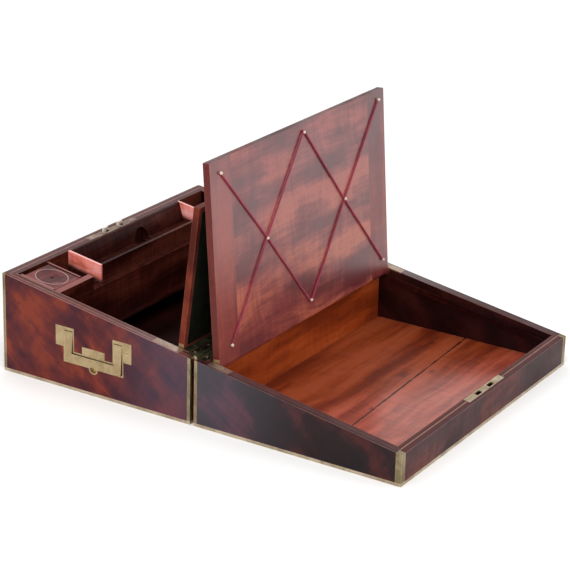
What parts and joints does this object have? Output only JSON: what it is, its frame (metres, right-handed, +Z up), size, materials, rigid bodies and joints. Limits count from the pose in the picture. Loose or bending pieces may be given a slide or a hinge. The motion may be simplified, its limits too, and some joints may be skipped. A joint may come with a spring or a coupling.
{
  "type": "writing slope",
  "caption": "Brass-bound wooden writing slope that opens flat, with hinged writing flaps, a pen row, flush side handles and a hook lock.",
  "frame": {"origin": "middle of the underside, on the surface that the open slope stands on; the hinge line is above it", "axes": "+X along the hinge line, the width; +Y from the writer's side to the tall back of the base; +Z up"},
  "size_m": [0.3846, 0.505, 0.2871],
  "materials": {
    "mahogany_case": "French polished, dark reddish brown with flame figure",
    "mahogany_inside": "satin varnish, reddish brown",
    "mahogany_flaps": "satin polish, reddish brown",
    "brass": "aged, softly polished",
    "steel": "filed bright",
    "velvet": "worn dark green pile",
    "cord": "twisted burgundy cord",
    "bone": "polished bone"
  },
  "bodies": {
    "base": {"base_back_wall": "mahogany_case", "base_bottom_board": "mahogany_inside", "base_centre_rail": "mahogany_inside", "base_corner_brass": "brass", "base_edge_brass": "brass", "base_far_side": "mahogany_case", "base_flap_ledges": "mahogany_inside", "base_front_wall": "mahogany_case", "base_hinge_leaves": "brass", "base_near_side": "mahogany_case", "base_pivot_plates": "brass", "base_rail_velvet": "velvet", "base_rim_screws": "brass", "compartment_fronts": "mahogany_inside", "far_handle_plate": "brass", "handle_pins": "brass", "handle_screws": "brass", "hinge_pins": "brass", "keyhole_escutcheon": "brass", "lock_cap": "brass", "lock_case": "brass", "lock_key_pin": "steel", "lock_spring": "steel", "near_handle_plate": "brass", "pen_tray": "mahogany_inside", "row_dividers": "mahogany_inside", "row_front_panel": "mahogany_inside", "row_shelf": "mahogany_inside", "sander_block": "brass", "sander_dish": "mahogany_inside", "tray_end_plates": "mahogany_inside", "well_partition": "mahogany_inside"},
    "lid": {"lid_back_wall": "mahogany_case", "lid_centre_rail": "mahogany_inside", "lid_corner_brass": "brass", "lid_edge_brass": "brass", "lid_far_side": "mahogany_case", "lid_flap_ledges": "mahogany_inside", "lid_floor_boards": "mahogany_inside", "lid_hinge_leaves": "brass", "lid_near_side": "mahogany_case", "lid_pivot_plates": "brass", "lid_rail_velvet": "velvet", "lid_rim_screws": "brass", "lid_thin_end": "mahogany_case", "strike_plate": "brass"},
    "front_flap": {"front_flap_cleats": "mahogany_flaps", "front_flap_panel": "mahogany_flaps", "front_flap_pivots": "brass", "front_flap_velvet": "velvet", "lattice_cord": "cord", "lattice_studs": "bone"},
    "rear_flap": {"rear_flap_board": "mahogany_flaps", "rear_flap_pivots": "brass", "rear_flap_velvet": "velvet"},
    "near_bail": {"near_bail": "brass"},
    "far_bail": {"far_bail": "brass"},
    "lock_bolt": {"lock_bolt": "steel"}
  },
  "joints": [
    {"name": "lid_hinge", "type": "hinge", "parent": "base", "child": "lid", "pos_m": [0, 0, 0.0754], "axis": [-1, 0, 0], "range_deg": [0, 180]},
    {"name": "front_flap_hinge", "type": "hinge", "parent": "lid", "child": "front_flap", "pos_m": [0, -0.0223, 0.06778], "axis": [1, 0, 0], "range_deg": [0, 103.6]},
    {"name": "rear_flap_hinge", "type": "hinge", "parent": "base", "child": "rear_flap", "pos_m": [0, 0.0236, 0.07483], "axis": [-1, 0, 0], "range_deg": [0, 87.32]},
    {"name": "near_bail_hinge", "type": "hinge", "parent": "base", "child": "near_bail", "pos_m": [-0.1882, 0.129, 0.066], "axis": [0, 1, 0], "range_deg": [-4, 86]},
    {"name": "far_bail_hinge", "type": "hinge", "parent": "base", "child": "far_bail", "pos_m": [0.1882, 0.129, 0.066], "axis": [0, -1, 0], "range_deg": [-4, 86]},
    {"name": "lock_bolt_slide", "type": "slide", "parent": "base", "child": "lock_bolt", "axis": [1, 0, 0], "range_m": [0, 0.006]}
  ],
  "couplings": [
    {"joint": "front_flap_hinge", "follows": "lid_hinge", "ratio": 0.5755},
    {"joint": "rear_flap_hinge", "follows": "lid_hinge", "ratio": 0.48505}
  ]
}
